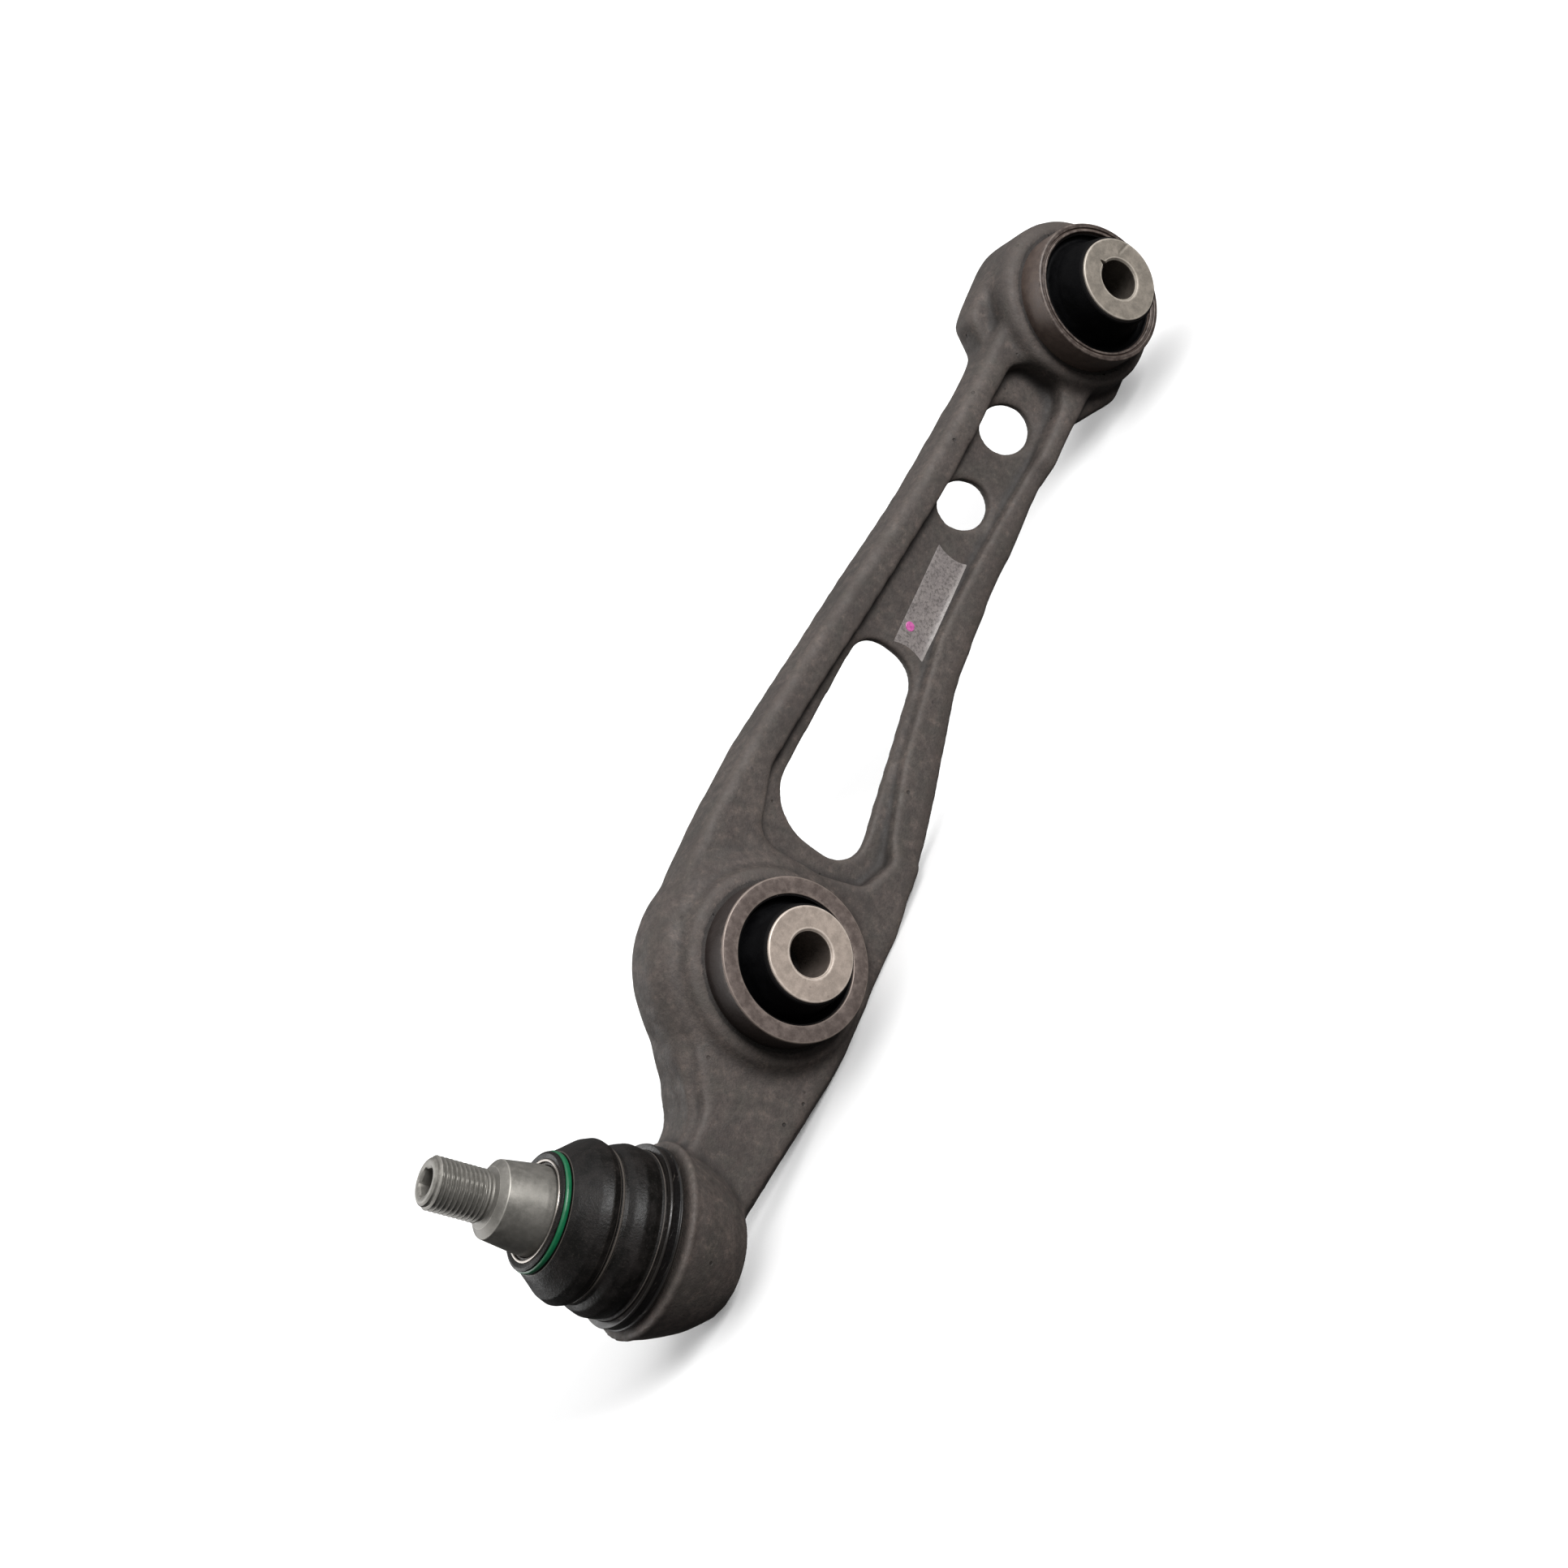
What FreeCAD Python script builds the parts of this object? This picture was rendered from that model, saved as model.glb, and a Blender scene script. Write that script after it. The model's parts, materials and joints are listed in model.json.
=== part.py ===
"""Front lower control arm: forged arm, two bonded bushes and a ball joint.

Frame, in millimetres: the origin is the centre of the inner bush, on the arm's mid-plane.
+X runs along the arm towards the damper bush and the ball joint, +Y along both bush axes,
and +Z to the side that the ball stud stands out of.
"""
import FreeCAD, Part
import math
import os

Vector = FreeCAD.Vector
AXIS_Y = Vector(0, 1, 0)

# Arm forging
DAMPER_X = 277.3             # centre of the damper bush
RAIL_HALF = 8.5              # half thickness of the two rails
RELIEF_HALF = 5.6            # half thickness of the thinner stretch of the lower rail
WEB_HALF = 2.0               # half thickness of the web between the rails
EYE_RADIUS, EYE_HALF, EYE_BEVEL = 30.6, 12.8, 1.6
SHOULDER_BACK, SHOULDER_FRONT = -9.5, 3.0   # the shoulders beside the eye lie off the mid-plane
BOSS_TIERS = ((38.0, 7.5, 36.2), (36.0, 11.0, 34.2), (31.2, 16.0, 31.2))   # radius, half, flank
NECK_HALF = 12.0             # half thickness between the damper boss and the ball housing
BOOT_ROOM_RADIUS = 28.4      # the neck is cut back to this round the boot and its clamp
HOLE_CENTRES = ((54.2, 1.0), (89.8, 3.2))
HOLE_HALF_LONG, HOLE_HALF_SHORT = 10.9, 8.6
HOLE_TURN = 35.0             # degrees from +X to the holes' long way
DIMPLE_CENTRE, DIMPLE_RADIUS, DIMPLE_DEPTH = (38.6, -0.3), 1.6, 0.7

# Bushes: both inner sleeves take an M14 bolt
SLEEVE_RADIUS, SLEEVE_BORE, SLEEVE_HALF = 14.8, 7.1, 35.0
BOND_GAP = 0.05              # running gap between a rubber and its inner sleeve
RUBBER_TOP = 34.0            # the rubber skin stops just short of the sleeve's face
CAN_RADIUS, CAN_HALF, CAN_WALL, CAN_RIM = 25.1, 23.4, 1.6, 22.0
CAGE_WALL, CAGE_HALF = 1.7, 22.2
RING_RADIUS, RING_BORE, RING_HALF, RING_CHAMFER = 25.6, 20.1, 26.4, 0.8

# Ball joint: stations S are measured along the stud from the housing's shoulder
SHOULDER = Vector(368.5, 0, -3.5)
STUD_TILT = 16.5             # degrees from +Z towards +X
BALL_S, BALL_RADIUS = -10.0, 13.5
BALL_GAP = 0.05
SHELL_RADIUS, SHELL_FLOOR_S, SHELL_TOP_S, SHELL_MOUTH = 17.0, -25.0, -2.0, 10.7
SHELL_SPLIT_S = -10.0
CLOSER_RADIUS, CLOSER_BORE, CLOSER_TOP_S = 19.5, 12.4, 1.0
SPIGOT_RADIUS, SPIGOT_TOP_S, LIP_BORE, SPIGOT_BORE = 22.4, 5.6, 18.3, 20.2
NECK_RADIUS = 7.0
COLLAR_S, COLLAR_RADIUS = 29.0, 13.4
TAPER_S, TAPER_END_S, TAPER_END_RADIUS = 38.0, 49.5, 11.8
THREAD_S, THREAD_END_S, THREAD_RADIUS, THREAD_CHAMFER = 53.4, 70.5, 8.0, 1.6
RELIEF_RADIUS = 7.1
SOCKET_FLATS, SOCKET_DEPTH = 8.0, 7.0
BOOT_WALL = 1.8
BOOT_SPLIT_S, VALLEY_RADIUS = 18.2, 23.0   # the valley where the boot's two halves meet
CLAMP_S, CLAMP_END_S, CLAMP_RADIUS = 1.4, 6.0, 27.7
BOOT_FOOT_RADIUS = 25.6
GREEN_S, GREEN_END_S, GREEN_BORE, GREEN_RADIUS = 32.9, 34.8, 16.4, 18.2
SUPPORT_S, SUPPORT_END_S, SUPPORT_BORE, SUPPORT_RADIUS = 33.8, 35.7, 14.5, 15.4
MOUTH_END_S, MOUTH_RADIUS = 35.6, 17.8

# Label on the web
LABEL_MIN, LABEL_MAX, LABEL_THICK = (109.0, -6.4), (150.6, 5.4), 0.4
DOT_CENTRE, DOT_RADIUS, DOT_THICK = (142.0, 2.4), 1.7, 0.2


def rounded_face(corners):
    """A flat face in the XZ plane from (x, z, corner radius) points."""
    edges, ends = [], []
    count = len(corners)
    for i, (x, z, radius) in enumerate(corners):
        here = Vector(x, 0, z)
        back = Vector(corners[i - 1][0], 0, corners[i - 1][1]) - here
        ahead_point = corners[(i + 1) % count]
        ahead = Vector(ahead_point[0], 0, ahead_point[1]) - here
        if radius == 0:
            ends.append((here, None, here))
            continue
        half = back.getAngle(ahead) / 2
        back.normalize()
        ahead.normalize()
        reach = radius / math.tan(half)
        inward = back + ahead
        inward.normalize()
        middle = here + inward * (radius / math.sin(half) - radius)
        ends.append((here + back * reach, middle, here + ahead * reach))
    for i, (start, middle, end) in enumerate(ends):
        if middle is not None:
            edges.append(Part.Arc(start, middle, end).toShape())
        next_start = ends[(i + 1) % count][0]
        if end.distanceToPoint(next_start) > 1e-6:
            edges.append(Part.LineSegment(end, next_start).toShape())
    return Part.Face(Part.Wire(Part.__sortEdges__(edges)))


def slab(face, low, high):
    """Extrude a face of the XZ plane from y = low to y = high."""
    moved = face.copy()
    moved.translate(Vector(0, low, 0))
    return moved.extrude(Vector(0, high - low, 0))


def disc(radius, half, x=0.0, z=0.0):
    """A cylinder along Y, centred on the mid-plane."""
    return Part.makeCylinder(radius, 2 * half, Vector(x, -half, z), AXIS_Y)


def turned(points, axis=AXIS_Y, origin=Vector(0, 0, 0)):
    """Turn a closed (radius, station) outline about an axis."""
    wire = Part.makePolygon([Vector(r, 0, s) for r, s in list(points) + [points[0]]])
    solid = Part.Face(wire).revolve(Vector(0, 0, 0), Vector(0, 0, 1), 360)
    turn = FreeCAD.Rotation(Vector(0, 0, 1), axis)
    solid.Placement = FreeCAD.Placement(origin, turn)
    return solid


def mirrored(points):
    """Complete a (radius, station) outline that is the same on both sides of station 0."""
    return list(points) + [(r, -s) for r, s in reversed(points)]


STUD_AXIS = Vector(math.sin(math.radians(STUD_TILT)), 0, math.cos(math.radians(STUD_TILT)))


def on_stud(station):
    """The point on the stud's axis at a station."""
    return SHOULDER + STUD_AXIS * station


def joint_turned(points):
    """Turn a closed (radius, station) outline about the stud's axis."""
    return turned(points, STUD_AXIS, SHOULDER)


# Arm forging

def arm_outline():
    """Both rails, the damper boss's flanks and the neck, seen along Y."""
    return rounded_face([
        (5, -20.5, 0), (72, -19, 60), (112, -18, 80), (152, -20, 80), (217, -33.6, 25),
        (241, -36.2, 30), (292, -36.2, 60), (356, -27.2, 0), (350, 1.8, 0), (331, 2, 14),
        (311, 18, 12), (298, 30, 12), (262, 37.6, 30), (214, 36.4, 60), (143, 28.6, 120),
        (98, 23.2, 80), (50, 20.2, 40), (5, 20.2, 0)])


def pocket_outline():
    """The recess between the rails, from the eye to the damper boss."""
    return rounded_face([
        (29.5, -11.5, 9), (62, -12, 40), (106, -8.4, 50), (140, -7.4, 40), (186, -14, 60),
        (221, -24, 5), (233.5, -19, 6), (240, 0, 12), (240.5, 20, 8), (218, 26.6, 12), (196, 25, 40),
        (150, 19.6, 60), (88, 13.2, 60), (29.5, 11, 10)])


def slot_outline():
    """The large slot through the web."""
    return rounded_face([(152.8, 16.4, 10), (229.3, 20.8, 17.5), (229.3, -16.8, 12), (152.8, -6.6, 10)])


def rail_relief(side):
    """The thinner stretch of the lower rail on one face, with a ramp at each end."""
    outline = [(58, RAIL_HALF), (64, RELIEF_HALF), (212, RELIEF_HALF), (218, RAIL_HALF),
               (218, 2 * RAIL_HALF), (58, 2 * RAIL_HALF), (58, RAIL_HALF)]
    wire = Part.makePolygon([Vector(x, side * y, -60) for x, y in outline])
    return Part.Face(wire).extrude(Vector(0, 0, 56))


def relief_side():
    """The shallow cut on the outside of the lower rail."""
    return rounded_face([(61, -24, 0), (66, -18.3, 4), (112, -16.6, 80), (152, -19, 80),
                         (214, -33.6, 20), (214, -50, 0), (61, -50, 0)])


def collar_outline():
    """The two shoulders that carry the eye into the rails."""
    return rounded_face([
        (0, -30.4, 0), (14, -32.4, 4), (37, -20.2, 0), (37, 19, 0), (33.6, 19.8, 0), (26.6, 30.2, 2),
        (14, 31.2, 4), (0, 30.4, 0)])


def housing_outline():
    """Outside of the ball housing with its spigot, turned about the stud."""
    return [(0, -29.4), (10, -28.8), (15.8, -26.6), (20.3, -22.8), (23.8, -17.6), (26.2, -12),
            (28.2, -6.5), (29.2, -2.2), (29.9, -1.6), (29.9, -0.4), (29.3, 0), (SPIGOT_RADIUS, 0),
            (SPIGOT_RADIUS, SPIGOT_TOP_S), (0, SPIGOT_TOP_S)]


def housing_cavity():
    """The bore that takes the bearing shell, the closing ring and the stud's swing."""
    lip_top = CLOSER_TOP_S + 1.2
    return joint_turned([
        (0, SHELL_FLOOR_S), (SHELL_RADIUS, SHELL_FLOOR_S), (SHELL_RADIUS, SHELL_TOP_S),
        (CLOSER_RADIUS, SHELL_TOP_S), (CLOSER_RADIUS, CLOSER_TOP_S), (LIP_BORE, CLOSER_TOP_S),
        (LIP_BORE, lip_top), (SPIGOT_BORE, lip_top + 1), (SPIGOT_BORE, SPIGOT_TOP_S + 1),
        (0, SPIGOT_TOP_S + 1)])


def eye_barrel():
    """The round that the inner bush is pressed into."""
    return turned(mirrored([(0, EYE_HALF), (EYE_RADIUS - EYE_BEVEL, EYE_HALF),
                            (EYE_RADIUS, EYE_HALF - EYE_BEVEL)]))


def boss_tier(radius, half, flank):
    """One step of the damper boss, flattened on the side away from the stud."""
    tier = disc(radius, half, DAMPER_X)
    corner = Vector(DAMPER_X - radius, -half, -flank - radius)
    beyond = Part.makeBox(2 * radius, 2 * half, radius, corner)
    return tier.cut(beyond)


def lightening_hole(centre):
    """One oval hole through the web."""
    x, z = centre
    turn = math.radians(HOLE_TURN)
    long_way = Vector(math.cos(turn), 0, math.sin(turn))
    short_way = Vector(-math.sin(turn), 0, math.cos(turn))
    middle = Vector(x, -EYE_HALF, z)
    oval = Part.Ellipse(middle + long_way * HOLE_HALF_LONG, middle + short_way * HOLE_HALF_SHORT, middle)
    return Part.Face(Part.Wire(oval.toShape())).extrude(Vector(0, 2 * EYE_HALF, 0))


def arm_forging():
    """The one-piece forging, machined for the two bushes and the ball joint."""
    rails = slab(arm_outline(), -RAIL_HALF, RAIL_HALF)
    pocket = pocket_outline()
    for side in (1, -1):
        rails = rails.cut(slab(pocket, side * WEB_HALF, side * 2 * RAIL_HALF))
        rails = rails.cut(rail_relief(side))
    rails = rails.cut(slab(relief_side(), -2 * RAIL_HALF, 2 * RAIL_HALF))
    neck = slab(rounded_face([
        (DAMPER_X, -34.2, 0), (296, -33.4, 40), (354, -25, 0), (350, -0.8, 0), (328, 0, 12),
        (306, 17, 10), (296, 26, 8), (DAMPER_X, 33, 0)]), -NECK_HALF, NECK_HALF)
    shoulders = slab(collar_outline(), SHOULDER_BACK, SHOULDER_FRONT)
    for side, end in ((1, SHOULDER_FRONT), (-1, SHOULDER_BACK)):
        shoulders = shoulders.cut(slab(pocket, side * WEB_HALF, end))
    boot_room = joint_turned([(0, 0), (BOOT_ROOM_RADIUS, 0), (BOOT_ROOM_RADIUS, THREAD_END_S),
                              (0, THREAD_END_S)])
    body = rails.fuse([neck, shoulders]).cut(boot_room)
    rounds = [boss_tier(radius, half, flank) for radius, half, flank in BOSS_TIERS]
    body = body.fuse(rounds + [eye_barrel(), joint_turned(housing_outline())])
    cuts = [slab(slot_outline(), -EYE_HALF, EYE_HALF), disc(CAN_RADIUS, 40), disc(RING_RADIUS, 40, DAMPER_X)]
    cuts += [lightening_hole(centre) for centre in HOLE_CENTRES]
    dimple = Vector(DIMPLE_CENTRE[0], WEB_HALF - DIMPLE_DEPTH, DIMPLE_CENTRE[1])
    cuts += [Part.makeCylinder(DIMPLE_RADIUS, 5, dimple, AXIS_Y)]
    cuts += [housing_cavity()]
    return body.cut(cuts).removeSplitter()


# Bushes

def inner_sleeve(x):
    """A steel sleeve with an M14 clearance bore."""
    chamfer = 0.6
    outline = mirrored([(SLEEVE_BORE, SLEEVE_HALF), (SLEEVE_RADIUS - chamfer, SLEEVE_HALF),
                        (SLEEVE_RADIUS, SLEEVE_HALF - chamfer)])
    return turned(outline, AXIS_Y, Vector(x, 0, 0))


def bonded_rubber(x, radius, foot):
    """Rubber from an outer ring to its inner sleeve, dished at both ends."""
    bore = SLEEVE_RADIUS + BOND_GAP
    outline = mirrored([(bore, RUBBER_TOP), (bore + 0.9, RUBBER_TOP), (bore + 2.2, foot + 5),
                        (bore + 3.4, foot + 1), (radius - 1, foot), (radius, foot + 0.8)])
    return turned(outline, AXIS_Y, Vector(x, 0, 0))


def inner_bush_can():
    """Pressed steel can with both rims rolled inwards."""
    bore = CAN_RADIUS - CAN_WALL
    return turned(mirrored([(bore, CAGE_HALF), (CAN_RIM, CAGE_HALF), (CAN_RIM, CAN_HALF - 0.4),
                            (CAN_RIM + 0.4, CAN_HALF), (CAN_RADIUS - 1, CAN_HALF),
                            (CAN_RADIUS, CAN_HALF - 1)]))


def inner_bush_cage():
    """The cage that the rolled rims hold, vulcanised to the rubber."""
    outside = CAN_RADIUS - CAN_WALL
    return turned(mirrored([(outside - CAGE_WALL, CAGE_HALF), (outside, CAGE_HALF)]))


def damper_bush_ring():
    """Thick outer ring pressed into the damper boss."""
    bevel = RING_CHAMFER
    return turned(mirrored([(RING_BORE, RING_HALF - bevel / 2), (RING_BORE + bevel / 2, RING_HALF),
                            (RING_RADIUS - bevel, RING_HALF), (RING_RADIUS, RING_HALF - bevel)]),
                  AXIS_Y, Vector(DAMPER_X, 0, 0))


# Ball joint

def joint_ball():
    """The ball alone."""
    return Part.makeSphere(BALL_RADIUS, on_stud(BALL_S))


def ball_socket():
    """The sphere that the ball's neighbours are hollowed by."""
    return Part.makeSphere(BALL_RADIUS + BALL_GAP, on_stud(BALL_S))


def joint_stud():
    """Neck, collar, taper and thread, standing on the ball."""
    body = joint_turned([
        (0, BALL_S + 6), (NECK_RADIUS, BALL_S + 6), (NECK_RADIUS, 5), (NECK_RADIUS + 1.6, 14),
        (COLLAR_RADIUS, COLLAR_S - 4), (COLLAR_RADIUS, TAPER_S),
        (TAPER_END_RADIUS, TAPER_END_S), (TAPER_END_RADIUS - 3, TAPER_END_S + 1.9),
        (RELIEF_RADIUS, TAPER_END_S + 2.4), (RELIEF_RADIUS, THREAD_S - 0.6), (THREAD_RADIUS, THREAD_S),
        (THREAD_RADIUS, THREAD_END_S - THREAD_CHAMFER), (THREAD_RADIUS - THREAD_CHAMFER, THREAD_END_S),
        (0, THREAD_END_S)])
    corner = SOCKET_FLATS / math.sqrt(3)
    ring = [Vector(corner * math.cos(math.radians(60 * i)), corner * math.sin(math.radians(60 * i)), 0)
            for i in range(6)]
    socket = Part.Face(Part.makePolygon(ring + [ring[0]])).extrude(Vector(0, 0, SOCKET_DEPTH + 1))
    socket.Placement = FreeCAD.Placement(on_stud(THREAD_END_S - SOCKET_DEPTH),
                                         FreeCAD.Rotation(Vector(0, 0, 1), STUD_AXIS))
    return body.cut([ball_socket(), socket])


def shell_half(low, high):
    """One half of the bearing shell, hollowed by the ball and open where the neck swings."""
    blank = joint_turned([(0, low), (SHELL_RADIUS, low), (SHELL_RADIUS, high), (0, high)])
    mouth = joint_turned([(0, BALL_S), (SHELL_MOUTH, BALL_S), (SHELL_MOUTH, SHELL_TOP_S), (0, SHELL_TOP_S)])
    return blank.cut([ball_socket(), mouth]) if high > SHELL_SPLIT_S else blank.cut(ball_socket())


def closing_ring():
    """Steel ring that the housing's lip is rolled over."""
    return joint_turned([(CLOSER_BORE, SHELL_TOP_S), (CLOSER_RADIUS, SHELL_TOP_S),
                         (CLOSER_RADIUS, CLOSER_TOP_S), (CLOSER_BORE + 0.6, CLOSER_TOP_S),
                         (CLOSER_BORE, CLOSER_TOP_S - 0.6)])


def boot_lower():
    """Foot and lower fold of the dust boot."""
    foot_s = 0.2
    return joint_turned([
        (SPIGOT_RADIUS, foot_s), (BOOT_FOOT_RADIUS, foot_s), (BOOT_FOOT_RADIUS, CLAMP_END_S + 0.4),
        (24.6, 8.2), (25.8, 10.4), (25.8, 13.2), (24.4, 16.2), (VALLEY_RADIUS, BOOT_SPLIT_S),
        (VALLEY_RADIUS - BOOT_WALL, BOOT_SPLIT_S), (24.0 - BOOT_WALL, 13.2), (24.0 - BOOT_WALL, 10.4),
        (SPIGOT_RADIUS, CLAMP_END_S + 0.8)])


def boot_upper():
    """Upper bulb of the dust boot and its mouth, grooved for the garter and the support ring."""
    bore = COLLAR_RADIUS + 0.25
    seat = BOND_GAP
    return joint_turned([
        (VALLEY_RADIUS, BOOT_SPLIT_S), (24.3, 20.2), (24.8, 22.6), (23.7, 25.4), (18.6, GREEN_S - 0.2),
        (GREEN_BORE, GREEN_S - 0.2), (GREEN_BORE, GREEN_END_S), (SUPPORT_RADIUS + seat, GREEN_END_S),
        (SUPPORT_RADIUS + seat, SUPPORT_S), (SUPPORT_BORE - seat, SUPPORT_S),
        (SUPPORT_BORE - seat, MOUTH_END_S - 0.3), (bore, MOUTH_END_S - 0.3), (bore, GREEN_S - 1.6),
        (16.8, GREEN_S - 2.2), (21.9, 24.8), (22.8, 22.6), (22.4, 21.2),
        (VALLEY_RADIUS - BOOT_WALL, BOOT_SPLIT_S)])


def boot_mouth_lip():
    """Rubber edge that keeps the garter ring from slipping off the mouth."""
    bore = SUPPORT_RADIUS + BOND_GAP
    return joint_turned([(bore, GREEN_END_S), (MOUTH_RADIUS, GREEN_END_S),
                         (MOUTH_RADIUS - 0.4, MOUTH_END_S), (bore, MOUTH_END_S)])


def ring_between(bore, radius, low, high):
    """A plain ring about the stud's axis."""
    return joint_turned([(bore, low), (radius, low), (radius, high), (bore, high)])


# Label

def web_label():
    """Blank label on the web."""
    return Part.makeBox(LABEL_MAX[0] - LABEL_MIN[0], LABEL_THICK, LABEL_MAX[1] - LABEL_MIN[1],
                        Vector(LABEL_MIN[0], WEB_HALF, LABEL_MIN[1]))


def paint_dot():
    """Inspection mark on the label."""
    return Part.makeCylinder(DOT_RADIUS, DOT_THICK,
                             Vector(DOT_CENTRE[0], WEB_HALF + LABEL_THICK, DOT_CENTRE[1]), AXIS_Y)


def build():
    """Every node by name."""
    cage_bore = CAN_RADIUS - CAN_WALL - CAGE_WALL
    return {
        "arm_forging": arm_forging(),
        "inner_bush_can": inner_bush_can(),
        "inner_bush_cage": inner_bush_cage(),
        "inner_bush_rubber": bonded_rubber(0, cage_bore, 17.5),
        "inner_bush_sleeve": inner_sleeve(0),
        "damper_bush_ring": damper_bush_ring(),
        "damper_bush_rubber": bonded_rubber(DAMPER_X, RING_BORE, 19.5),
        "damper_bush_sleeve": inner_sleeve(DAMPER_X),
        "joint_ball": joint_ball(),
        "joint_stud": joint_stud(),
        "joint_shell_lower": shell_half(SHELL_FLOOR_S, SHELL_SPLIT_S),
        "joint_shell_upper": shell_half(SHELL_SPLIT_S, SHELL_TOP_S),
        "joint_closing_ring": closing_ring(),
        "boot_clamp_ring": ring_between(BOOT_FOOT_RADIUS, CLAMP_RADIUS, CLAMP_S, CLAMP_END_S),
        "boot_lower": boot_lower(),
        "boot_upper": boot_upper(),
        "boot_garter_ring": ring_between(GREEN_BORE, GREEN_RADIUS, GREEN_S, GREEN_END_S),
        "boot_support_ring": ring_between(SUPPORT_BORE, SUPPORT_RADIUS, SUPPORT_S, SUPPORT_END_S),
        "boot_mouth_lip": boot_mouth_lip(),
        "web_label": web_label(),
        "paint_dot": paint_dot(),
    }


os.makedirs("parts", exist_ok=True)
for name, shape in build().items():
    shape.exportStep("parts/" + name + ".step")
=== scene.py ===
"""Looks of the front lower control arm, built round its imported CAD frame.

Lengths in the outlines are millimetres; Blender's own units are metres.
"""
import bmesh
import bpy
import json
import math
import numpy as np
from mathutils import Matrix, Vector, noise
from mathutils.bvhtree import BVHTree


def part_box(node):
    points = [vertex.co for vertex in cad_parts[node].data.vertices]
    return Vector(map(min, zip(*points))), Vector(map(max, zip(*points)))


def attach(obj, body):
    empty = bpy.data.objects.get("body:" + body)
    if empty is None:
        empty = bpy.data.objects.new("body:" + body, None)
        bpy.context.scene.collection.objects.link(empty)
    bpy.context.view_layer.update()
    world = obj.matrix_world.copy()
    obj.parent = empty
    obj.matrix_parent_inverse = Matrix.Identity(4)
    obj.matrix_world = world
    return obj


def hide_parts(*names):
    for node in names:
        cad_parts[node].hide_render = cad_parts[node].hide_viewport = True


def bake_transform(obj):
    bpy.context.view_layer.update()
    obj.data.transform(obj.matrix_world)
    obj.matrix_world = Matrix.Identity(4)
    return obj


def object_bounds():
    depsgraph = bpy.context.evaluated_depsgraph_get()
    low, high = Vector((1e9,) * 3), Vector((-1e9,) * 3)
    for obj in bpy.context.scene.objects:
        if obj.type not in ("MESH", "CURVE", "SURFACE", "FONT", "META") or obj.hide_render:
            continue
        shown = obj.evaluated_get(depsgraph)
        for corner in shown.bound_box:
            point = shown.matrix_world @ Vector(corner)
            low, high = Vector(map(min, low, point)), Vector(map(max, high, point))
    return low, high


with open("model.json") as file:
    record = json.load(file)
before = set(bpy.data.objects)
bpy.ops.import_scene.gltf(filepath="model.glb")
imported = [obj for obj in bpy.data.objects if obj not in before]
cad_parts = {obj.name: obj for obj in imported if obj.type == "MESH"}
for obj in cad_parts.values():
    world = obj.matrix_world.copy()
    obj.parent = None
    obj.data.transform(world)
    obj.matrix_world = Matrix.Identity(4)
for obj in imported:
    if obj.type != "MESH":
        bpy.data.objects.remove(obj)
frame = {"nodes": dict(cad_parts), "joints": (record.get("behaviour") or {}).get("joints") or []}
cad_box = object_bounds()

MM = 0.001
TURN = 2 * math.pi
scene = bpy.context.scene
joints = {joint["name"]: joint for joint in frame["joints"]}


# Camera

def make_camera():
    """The camera that the main picture is taken from, rolled so that the arm stands in the frame."""
    position = Vector((655.0, 783.8, 320.0)) * MM
    forward = Vector((-0.463, -0.827, -0.319)).normalized()
    right = Vector((-0.381, 0.511, -0.770))
    data = bpy.data.cameras.new("camera")
    data.lens, data.sensor_width = 69.3, 36.0
    data.clip_start, data.clip_end = 0.05, 60.0
    camera = bpy.data.objects.new("camera", data)
    scene.collection.objects.link(camera)
    right = (right - forward * right.dot(forward)).normalized()
    up = right.cross(forward)
    columns = Matrix((right, up, -forward)).transposed()
    camera.matrix_world = Matrix.Translation(position) @ columns.to_4x4()
    scene.camera = camera


# Places

def place(origin, axis, right):
    """A frame whose Z is the axis: angles start at right, stations run along the axis."""
    w = Vector(axis).normalized()
    u = Vector(right)
    u = (u - w * u.dot(w)).normalized()
    matrix = Matrix((u, w.cross(u), w)).transposed().to_4x4()
    matrix.translation = Vector(origin)
    return matrix


BALL_STATION = -10.0    # the ball's centre, below the shoulder that the stud's stations count from
INNER = place(joints["subframe_pivot"]["pos_m"], joints["subframe_pivot"]["axis"], (1, 0, 0))
DAMPER = place(joints["damper_pivot"]["pos_m"], joints["damper_pivot"]["axis"], (1, 0, 0))
stud_axis = Vector(joints["stud_spin"]["axis"]).normalized()
SHOULDER = Vector(joints["stud_spin"]["pos_m"]) - stud_axis * BALL_STATION * MM
STUD = place(SHOULDER, stud_axis, (1, 0, 0))
DAMPER_X = DAMPER.translation.x / MM


# Mesh helpers

def smoothstep(x, low, high):
    """0 below low, 1 above high, and a smooth rise between them."""
    t = np.clip((x - low) / (high - low), 0, 1)
    return t * t * (3 - 2 * t)


def noise_at(points, size, seed):
    """Smooth noise from -1 to 1 at points in millimetres, with features of about that size."""
    shift = Vector((seed * 13.7, seed * 7.1, seed * 3.3))
    return np.array([noise.noise(Vector(p) / size + shift) for p in points])


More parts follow.
